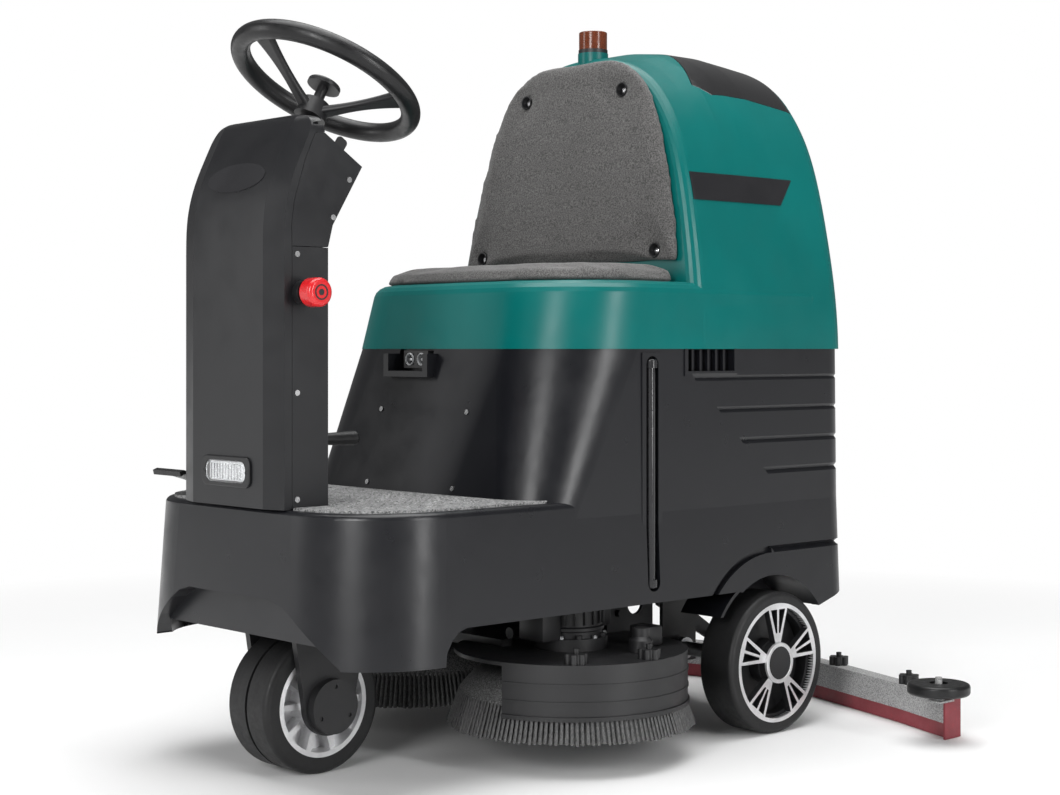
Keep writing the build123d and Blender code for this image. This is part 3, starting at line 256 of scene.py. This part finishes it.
slot_of_node = {row["node"]: row["material_slot"] for row in frame["record"]["subparts"]}
for node_name, node in frame["nodes"].items():
    for holder in node.material_slots:
        holder.material = looks[slot_of_node[node_name]]
# The connector block takes near-black knob plastic as painted shade, standing for the dark recess
# around the sockets.
frame["nodes"]["charge_connector"].material_slots[0].material = looks["knob_plastic"]
brush_block = speckled("brush_block", (0.06, 0.06, 0.06), (0.30, 0.30, 0.30), 0.6, 420)
# Reflector white with a faint glow of its own: painted brightness that stands in for the light the
# reflector gives back.
reflector_glow_white = moulded("reflector_glow_white", (0.88, 0.89, 0.90), 0.25, 0.02, 0.3)
reflector_glow_shader = reflector_glow_white.node_tree.nodes["Principled BSDF"]
reflector_glow_shader.inputs["Emission Color"].default_value = (1, 1, 1, 1)
reflector_glow_shader.inputs["Emission Strength"].default_value = 0.35


# ---------------------------------------------------------------- mesh helpers
def piece(name, mesh, look, body, smooth=35):
    """New object from a bmesh, smooth up to an edge angle in degrees, riding on a body."""
    data = bpy.data.meshes.new(name)
    mesh.to_mesh(data)
    mesh.free()
    made = bpy.data.objects.new(name, data)
    bpy.context.scene.collection.objects.link(made)
    data.materials.append(look)
    data.shade_flat()
    data.set_sharp_from_angle(angle=radians(smooth))
    for face in data.polygons:
        face.use_smooth = True
    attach(made, body)
    return made


def lathe(mesh, profile, place, turns=32):
    """Revolve (radius, height) points about local Z and put the result at place."""
    rings = []
    for radius, height in profile:
        if radius < 1e-7:
            rings.append([mesh.verts.new(place @ Vector((0, 0, height)))])
            continue
        rings.append([mesh.verts.new(place @ Vector((
            radius * cos(2 * pi * k / turns), radius * sin(2 * pi * k / turns), height)))
            for k in range(turns)])
    for lower, upper in zip(rings, rings[1:]):
        for k in range(turns):
            n = (k + 1) % turns
            corners = [lower[k % len(lower)], lower[n % len(lower)],
                       upper[n % len(upper)], upper[k % len(upper)]]
            unique = list(dict.fromkeys(corners))
            if len(unique) > 2:
                mesh.faces.new(unique)


def facing(origin, direction):
    """Matrix that puts local Z along direction at origin."""
    turn = Vector(direction).normalized().to_track_quat("Z", "Y").to_matrix().to_4x4()
    return Matrix.Translation(Vector(origin)) @ turn


def block(mesh, low, high, place=Matrix.Identity(4), bevel=0.0):
    """Box between two corners with bevelled edges."""
    size = Vector(high) - Vector(low)
    middle = (Vector(high) + Vector(low)) / 2
    part = bmesh.new()
    bmesh.ops.create_cube(part, size=1.0, matrix=Matrix.Translation(middle) @ Matrix.Diagonal(
        (*size, 1)))
    if bevel:
        bmesh.ops.bevel(part, geom=part.edges[:], offset=bevel, segments=2, affect="EDGES",
                        profile=0.5)
    part.transform(place)
    made = {}
    for vert in part.verts:
        made[vert] = mesh.verts.new(vert.co)
    for face in part.faces:
        mesh.faces.new([made[vert] for vert in face.verts])
    part.free()


def pipe(mesh, points, radius, sides=10):
    """Round bar through the points, with closed ends."""
    rings = []
    for k, point in enumerate(points):
        ahead = points[min(k + 1, len(points) - 1)] - points[max(k - 1, 0)]
        place = facing(point, ahead)
        rings.append([mesh.verts.new(place @ Vector((
            radius * cos(2 * pi * n / sides), radius * sin(2 * pi * n / sides), 0)))
            for n in range(sides)])
    for lower, upper in zip(rings, rings[1:]):
        for n in range(sides):
            m = (n + 1) % sides
            mesh.faces.new([lower[n], lower[m], upper[m], upper[n]])
    mesh.faces.new(rings[0][::-1])
    mesh.faces.new(rings[-1])


# ---------------------------------------------------------------- cushions
pad_voxel = 0.006
pad_pressure = 4.0
pad_frames = 20
held_depth = 0.004           # rear layer of a pad that stays flat


def cushion(node, name, cap, hold):
    """Padded form from a CAD solid, swollen by at most cap except where hold(co) is true."""
    made = bpy.data.objects.new(name, frame["nodes"][node].data.copy())
    bpy.context.scene.collection.objects.link(made)
    remesh = made.modifiers.new("remesh", "REMESH")
    remesh.mode = "VOXEL"
    remesh.voxel_size = pad_voxel
    apply_modifiers(made)
    start = [vert.co.copy() for vert in made.data.vertices]
    group = made.vertex_groups.new(name="held")
    group.add([k for k, co in enumerate(start) if hold(co)], 1.0, "REPLACE")
    cloth = made.modifiers.new("cloth", "CLOTH")
    cloth.settings.vertex_group_mass = "held"
    cloth.settings.use_pressure = True
    cloth.settings.uniform_pressure_force = pad_pressure
    cloth.settings.effector_weights.gravity = 0.0
    for step in range(1, pad_frames + 1):
        bpy.context.scene.frame_set(step)
    apply_modifiers(made)
    bpy.context.scene.frame_set(1)
    for vert, co in zip(made.data.vertices, start):
        move = vert.co - co
        if move.length > cap:
            vert.co = co + move.normalized() * cap
    soften = made.modifiers.new("soften", "SMOOTH")
    soften.factor = 0.5
    soften.iterations = 4
    rounder = made.modifiers.new("rounder", "SUBSURF")
    rounder.levels = 1
    rounder.render_levels = 1
    apply_modifiers(made)
    made.data.shade_smooth()
    made.data.materials.clear()
    made.data.materials.append(looks["seat_vinyl"])
    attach(made, "tank")
    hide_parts(node)


def apply_modifiers(made):
    """Bake an object's modifiers into its mesh."""
    graph = bpy.context.evaluated_depsgraph_get()
    data = bpy.data.meshes.new_from_object(made.evaluated_get(graph))
    made.modifiers.clear()
    made.data = data


seat_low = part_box("seat_cushion")[0]
cushion("seat_cushion", "seat_pad", 0.007, lambda co: co.z < seat_low.z + held_depth)
lean = radians(4.3)          # backrest, off upright
back_normal = Vector((0, -cos(lean), sin(lean)))
back_face = max(vert.co.dot(-back_normal) for vert in
                frame["nodes"]["backrest_cushion"].data.vertices)
cushion("backrest_cushion", "backrest_pad", 0.006,
        lambda co: co.dot(-back_normal) > back_face - held_depth)


# ---------------------------------------------------------------- brushes
tuft_rows = [(0.1855, 0.2055, 150), (0.176, 0.194, 140), (0.160, 0.172, 120),
             (0.140, 0.146, 100), (0.118, 0.116, 80)]      # radius at top, at foot, count
tuft_top_z, tuft_bend_z = 0.114, 0.082
tuft_radii = (0.0027, 0.0030, 0.0033)


def brush(body, node):
    """Scrub brush: a speckled block and rows of separate flared tufts."""
    low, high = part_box(node)
    centre = Vector(((low.x + high.x) / 2, (low.y + high.y) / 2, 0))
    place = Matrix.Translation(centre)
    top = bmesh.new()
    lathe(top, [(0, 0.2018), (0.0099, 0.2018), (0.0099, 0.166), (0.041, 0.166), (0.042, 0.165),
                (0.042, 0.151), (0.150, 0.150), (0.166, 0.138), (0.184, 0.118), (0.188, 0.112),
                (0.186, 0.108), (0.100, 0.106), (0.096, 0.112), (0, 0.112)], place, 96)
    made = piece(f"{node}_block", top, brush_block, body, 40)
    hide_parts(node)
    tufts = bmesh.new()
    for row, (r_top, r_foot, count) in enumerate(tuft_rows):
        for k in range(count):
            turn = 2 * pi * (k + 0.5 * (row % 2)) / count + chance.uniform(-0.002, 0.002)
            out = Vector((cos(turn), sin(turn), 0))
            foot = low.z + chance.uniform(0.0, 0.003)
            r_end = r_foot + chance.uniform(-0.0012, 0.0008)
            head = centre + out * r_top + Vector((0, 0, tuft_top_z))
            bend = centre + out * (r_top * 0.45 + r_end * 0.55) + Vector((0, 0, tuft_bend_z))
            pipe_tapered(tufts, [head, bend, centre + out * r_end + Vector((0, 0, foot))],
                         tuft_radii)
    piece(f"{node}_tufts", tufts, looks["bristle"], body, 60)


def pipe_tapered(mesh, points, radii, sides=6):
    """Level rings joined through the points, closed at the foot."""
    rings = []
    for point, radius in zip(points, radii):
        rings.append([mesh.verts.new(point + Vector((
            radius * cos(2 * pi * n / sides), radius * sin(2 * pi * n / sides), 0)))
            for n in range(sides)])
    for upper, lower in zip(rings, rings[1:]):
        for n in range(sides):
            m = (n + 1) % sides
            mesh.faces.new([lower[n], lower[m], upper[m], upper[n]])
    mesh.faces.new(rings[-1][::-1])


brush("left_brush", "brush_left")
brush("right_brush", "brush_right")


# ---------------------------------------------------------------- fasteners
seam_z = 0.680               # where the tank meets the chassis
back_foot = -198             # station of the backrest's plane at the seam
pad_screws = ((-0.126, 1.143), (0.126, 1.143), (-0.228, 0.851), (0.228, 0.851))


def cup_screws():
    """Domed screws in dark cups that hold the backrest pad."""
    cups, heads = bmesh.new(), bmesh.new()
    for x, z in pad_screws:
        rise = (z - seam_z) / cos(lean)
        foot = Vector((x, aft(back_foot), seam_z)) + Vector((0, sin(lean), cos(lean))) * rise
        place = facing(foot, back_normal)
        lathe(cups, [(0, 0.0015), (0.0075, 0.0015), (0.0095, 0.004), (0.0108, 0.0125),
                     (0.0125, 0.0150), (0.0132, 0.0165), (0.0126, 0.0176), (0.0112, 0.0172),
                     (0.0100, 0.0135), (0.0088, 0.0065), (0.0060, 0.0050), (0, 0.0048)], place)
        lathe(heads, [(0.0066, 0.0040), (0.0068, 0.0070), (0.0060, 0.0092), (0.0040, 0.0108),
                      (0.0026, 0.0112), (0.0024, 0.0080), (0, 0.0078)], place, 24)
    made = piece("backrest_screw_cups", cups, looks["knob_plastic"], "tank", 50)
    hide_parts("backrest_screws")
    piece("backrest_screw_heads", heads, looks["bright_steel"], "tank", 30)


cup_screws()


# ---------------------------------------------------------------- headlight
def headlight():
    """Faceted reflector behind the clear lens, and the screws of its frame."""
    low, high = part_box("headlight_housing")
    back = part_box("headlight_lens")[1].y + 0.004
    cols, rows = 16, 6
    width, height = 0.102, 0.029
    dx, dz = width / cols, height / rows
    middle = (low.x + high.x) / 2
    centre_z = (low.z + high.z) / 2
    mesh = bmesh.new()
    for i in range(cols):
        for j in range(rows):
            x = middle - width / 2 + width * i / cols
            z = centre_z - height / 2 + height * j / rows
            corners = [mesh.verts.new((x + a * dx, back, z + b * dz))
                       for a, b in ((0, 0), (1, 0), (1, 1), (0, 1))]
            tip = mesh.verts.new((x + dx / 2, back - 0.0016, z + dz / 2))
            for k in range(4):
                mesh.faces.new([corners[k], corners[(k + 1) % 4], tip])
    block(mesh, (middle - 0.052, back + 0.0002, centre_z - 0.0150),
          (middle + 0.052, back + 0.0022, centre_z + 0.0150))
    # The reflector glows faintly: painted brightness.
    piece("headlight_reflector", mesh, reflector_glow_white, "chassis", 20)
    screws = bmesh.new()
    for x in (low.x + 0.0085, high.x - 0.0085):
        place = facing((x, low.y + 0.0006, centre_z), (0, -1, 0))
        lathe(screws, [(0.0034, -0.001), (0.0034, 0.0006), (0.0026, 0.0013), (0.0012, 0.0014),
                       (0.0010, 0.0004), (0, 0.0004)], place, 20)
    piece("headlight_screws", screws, looks["knob_plastic"], "chassis", 30)


headlight()


# ---------------------------------------------------------------- anti-slip mat
body_half = 0.321
pedestal_front = -570        # station of the seat pedestal's foot
pedestal_r = 0.104           # its front corners
pedestal_margin = 0.012
stud_size = (0.0075, 0.0022, 0.0011)      # half length, half width, rise


def mat_studs():
    """Raised lozenges on the platform, in alternating directions."""
    low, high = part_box("foot_mat")
    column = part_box("column_front_cover")[1]
    mesh = bmesh.new()
    pitch = 0.021
    corner_in = 0.165        # centre of the mat's front corners, in from its edges
    corner_r = 0.143
    column_margin = (0.018, 0.016)
    rear_band = 0.045 + 0.03
    across = int((high.x - low.x - 0.03) / pitch)
    along = int((high.y - low.y - 0.02) / pitch)
    for i in range(across):
        for j in range(along):
            x = low.x + 0.02 + pitch * i
            y = low.y + 0.02 + pitch * j
            past_x = max(abs(x) - (high.x - corner_in), 0)
            past_y = max(low.y + corner_in - y, 0)
            if past_x > 0 and past_y > 0 and past_x ** 2 + past_y ** 2 > corner_r ** 2:
                continue
            if abs(x) < column.x + column_margin[0] and y < column.y + column_margin[1]:
                continue
            if y > high.y - rear_band or in_pedestal(x, y):
                continue
            turn = Matrix.Rotation(radians(45 if (i + j) % 2 else -45), 4, "Z")
            place = Matrix.Translation((x, y, high.z)) @ turn
            lozenge(mesh, place, *stud_size)
    piece("foot_mat_studs", mesh, looks["mat_grey"], "chassis", 30)


def in_pedestal(x, y):
    """True where the seat pedestal stands on the platform, with a small margin."""
    front = aft(pedestal_front) - pedestal_margin
    if abs(x) <= body_half - pedestal_r:
        return y > front
    dx = abs(x) - (body_half - pedestal_r)
    if dx > pedestal_r:
        return False
    return y > front + pedestal_r - (pedestal_r ** 2 - dx ** 2) ** 0.5


def lozenge(mesh, place, length, width, rise):
    """Low stud with a smaller flat top."""
    outline = [(-length, 0), (0, -width), (length, 0), (0, width)]
    foot = [mesh.verts.new(place @ Vector((x, y, 0))) for x, y in outline]
    crest = [mesh.verts.new(place @ Vector((x * 0.6, y * 0.5, rise))) for x, y in outline]
    for k in range(4):
        mesh.faces.new([foot[k], foot[(k + 1) % 4], crest[(k + 1) % 4], crest[k]])
    mesh.faces.new(crest)


mat_studs()


# ---------------------------------------------------------------- brush deck details
brush_x, brush_station = 0.210, -385      # axes of the two brush motors
motor_ribs, motor_bolts = 20, 6
bolt_circle_r = 0.057
link_x = 0.150


def deck_details():
    """Motor caps, gearbox ribs, links and bolts that crowd the deck."""
    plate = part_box("brush_motors")[0].z
    mesh, bright = bmesh.new(), bmesh.new()
    y = aft(brush_station)
    for x in (-brush_x, brush_x):
        place = Matrix.Translation((x, y, 0))
        lathe(mesh, [(0.0525, plate + 0.030), (0.056, plate + 0.032), (0.056, plate + 0.037),
                     (0.0525, plate + 0.039)], place, 48)
        for rib in range(motor_ribs):
            turn = Matrix.Rotation(2 * pi * rib / motor_ribs, 4, "Z")
            block(mesh, (0.0515, -0.0016, plate + 0.042), (0.0565, 0.0016, plate + 0.092),
                  place @ turn, 0.0006)
        lathe(mesh, [(0.0525, plate + 0.092), (0.055, plate + 0.094), (0.052, plate + 0.1025),
                     (0.030, plate + 0.1045)], place, 48)
        block(mesh, (x - 0.030, y - 0.092, plate + 0.018), (x + 0.030, y - 0.050, plate + 0.066),
              bevel=0.004)
        block(mesh, (x - 0.018, y + 0.050, plate + 0.030), (x + 0.018, y + 0.078, plate + 0.074),
              bevel=0.003)
        for bolt in range(motor_bolts):
            a = 2 * pi * bolt / motor_bolts
            spot = (x + bolt_circle_r * cos(a), y + bolt_circle_r * sin(a), plate + 0.0196)
            lathe(bright, [(0.0048, 0), (0.0048, 0.004), (0.0036, 0.0056), (0, 0.0058)],
                  facing(spot, (0, 0, 1)), 6)
    for x in (-link_x, link_x):
        middle_pin = Vector((x, aft(-300), plate + 0.030))
        pipe(mesh, [middle_pin, Vector((x, aft(-222), plate + 0.062))], 0.008)
        pipe(mesh, [Vector((x, aft(-470), plate + 0.024)), middle_pin], 0.010)
    cross_bar = [Vector((x, aft(-210), plate + 0.0325)) for x in (-0.155, 0.155)]
    pipe(mesh, cross_bar, 0.0062)
    for x in (-0.285, -0.125, 0.125, 0.285):
        block(mesh, (x - 0.022, aft(-300), plate + 0.0005), (x + 0.022, aft(-262), plate + 0.034),
              bevel=0.004)
    for x in (-0.330, 0.330):
        lathe(mesh, [(0.020, plate + 0.0005), (0.020, plate + 0.020), (0.014, plate + 0.026),
                     (0.014, plate + 0.040), (0, plate + 0.042)],
              Matrix.Translation((x, aft(-340), 0)), 24)
    piece("deck_linkage", mesh, looks["frame_paint"], "deck", 35)
    piece("deck_bolts", bright, looks["zinc_steel"], "deck", 30)


deck_details()


# ---------------------------------------------------------------- rear wheels
hub_r, rim_r = 0.0355, 0.0975
spoke_depth, rim_depth = 0.0045, 0.012    # how far in from the outer face silver reaches


def rear_wheel(side, word):
    """Silver spokes and rim face over a black core, with a ringed hub cap."""
    node, body = f"rear_wheel_{word}", f"rear_{word}"
    low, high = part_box(node)
    face = high.x if side > 0 else -low.x
    centre = Vector((0, (low.y + high.y) / 2, (low.z + high.z) / 2))
    made = bpy.data.objects.new(f"{node}_two_tone", frame["nodes"][node].data.copy())
    made.matrix_world = frame["nodes"][node].matrix_world.copy()
    bpy.context.scene.collection.objects.link(made)
    made.data.materials.clear()
    made.data.materials.append(looks["wheel_silver"])
    made.data.materials.append(looks["knob_plastic"])
    outer = max(side * (made.matrix_world @ polygon.center).x for polygon in made.data.polygons)
    for polygon in made.data.polygons:
        spot = made.matrix_world @ polygon.center
        radius = ((spot.y - centre.y) ** 2 + (spot.z - centre.z) ** 2) ** 0.5
        depth = outer - side * spot.x
        shown = depth < spoke_depth and radius > hub_r
        rim = depth < rim_depth and radius > rim_r
        polygon.material_index = 0 if shown or rim else 1
    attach(made, body)
    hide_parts(node)
    place = facing((side * face, centre.y, centre.z), (side, 0, 0))
    ring = bmesh.new()
    lathe(ring, [(0.0290, -0.0040), (0.0290, 0.0008), (0.0300, 0.0016), (0.0346, 0.0016),
                 (0.0358, 0.0006), (0.0358, -0.0040)], place, 56)
    piece(f"rear_hub_ring_{word}", ring, looks["wheel_silver"], body, 30)


rear_wheel(1, "left")
rear_wheel(-1, "right")


# ---------------------------------------------------------------- charging socket, stop button
def charge_sockets():
    """Rounded grey shells with a contact each, set in the connector block, which is painted
    near-black as the shade of its recess.
    """
    low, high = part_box("charge_connector")
    centre_z = (low.z + high.z) / 2
    shells, contacts = bmesh.new(), bmesh.new()
    for x in (-0.060, -0.028):
        place = facing((x, low.y, centre_z), (0, -1, 0))
        lathe(shells, [(0.0084, -0.0085), (0.0084, 0.0016), (0.0092, 0.0024), (0.0104, 0.0024),
                       (0.0112, 0.0016), (0.0112, -0.0004)], place, 32)
        block(contacts, (-0.0034, -0.0022, -0.0090), (0.0034, 0.0022, -0.0010), place, 0.0005)
    piece("charge_socket_shells", shells, looks["grey_plastic"], "chassis", 30)
    piece("charge_socket_contacts", contacts, looks["zinc_steel"], "chassis", 30)


def stop_button_shade_ring():
    """Dark ring and centre disc set on the red mushroom head: painted shade standing in for the
    groove seen there.
    """
    low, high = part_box("emergency_stop_button")
    place = facing((high.x, (low.y + high.y) / 2, (low.z + high.z) / 2), (1, 0, 0))
    mesh = bmesh.new()
    lathe(mesh, [(0.0122, -0.0006), (0.0120, 0.0005), (0.0098, 0.0005), (0.0096, -0.0006)],
          place, 40)
    lathe(mesh, [(0.0050, -0.0006), (0.0048, 0.0006), (0, 0.0007)], place, 32)
    piece("stop_button_shade_ring", mesh, looks["knob_plastic"], "stop_button", 40)


charge_sockets()
stop_button_shade_ring()


# ---------------------------------------------------------------- floor, light and camera
floor_mesh = bmesh.new()
bmesh.ops.create_grid(floor_mesh, x_segments=1, y_segments=1, size=40)
floor_data = bpy.data.meshes.new("floor")
floor_mesh.to_mesh(floor_data)
floor_mesh.free()
floor = bpy.data.objects.new("floor", floor_data)
bpy.context.scene.collection.objects.link(floor)
floor_look = Surface("floor_pale", 0.6, specular=0.2)
floor_look.paint(floor_look.blend(floor_look.noise(1.5), (0.86, 0.86, 0.86), (0.90, 0.90, 0.90)))
reach = floor_look.tree.nodes.new("ShaderNodeVectorMath")
reach.operation = "LENGTH"
link = floor_look.tree.links.new
link(floor_look.place, reach.inputs[0])
glow = floor_look.tree.nodes.new("ShaderNodeEmission")
fade = floor_look.tree.nodes.new("ShaderNodeMixShader")
link(floor_look.spread(reach.outputs["Value"], 1.0, 2.6, 0, 1), fade.inputs[0])
link(floor_look.shader.outputs[0], fade.inputs[1])
link(glow.outputs[0], fade.inputs[2])
link(fade.outputs[0], floor_look.tree.nodes["Material Output"].inputs["Surface"])
floor_data.materials.append(floor_look.material)

world = bpy.data.worlds.new("studio")
world.use_nodes = True
sky = world.node_tree.nodes["Background"]
sky.inputs["Color"].default_value = (1.0, 1.0, 1.0, 1)
rays = world.node_tree.nodes.new("ShaderNodeLightPath")
level = world.node_tree.nodes.new("ShaderNodeMapRange")
level.inputs["To Min"].default_value = 0.16
level.inputs["To Max"].default_value = 1.0
world.node_tree.links.new(rays.outputs["Is Camera Ray"], level.inputs["Value"])
world.node_tree.links.new(level.outputs["Result"], sky.inputs["Strength"])
bpy.context.scene.world = world
bpy.context.scene.view_settings.view_transform = "Standard"


def lamp(name, place, target, size, power):
    """Rectangular soft light aimed at a point."""
    data = bpy.data.lights.new(name, "AREA")
    data.shape = "RECTANGLE"
    data.size, data.size_y = size
    data.energy = power
    made = bpy.data.objects.new(name, data)
    made.matrix_world = facing(place, Vector(place) - Vector(target))
    bpy.context.scene.collection.objects.link(made)


middle = Vector((0, 0, 0.65))             # what every lamp points at
lamp("key", (2.2, -4.7, 2.1), middle, (1.3, 2.6), 135)
lamp("side", (4.4, 0.3, 1.6), middle, (0.7, 2.8), 85)
lamp("left", (-2.6, -3.8, 1.8), middle, (0.9, 2.4), 36)
lamp("top", (0, 0, 4.2), middle, (4.0, 4.0), 220)

view_turn = radians(47.5)                 # camera's heading, off the machine's long axis
camera_data = bpy.data.cameras.new("camera")
camera_data.sensor_width = 36.0
camera_data.lens = 63.85
camera_data.shift_y = -0.0458
camera = bpy.data.objects.new("camera", camera_data)
camera.location = (2.4943, -2.3094, 0.680)
camera.rotation_euler = (radians(90), 0, view_turn)
bpy.context.scene.collection.objects.link(camera)
bpy.context.scene.camera = camera
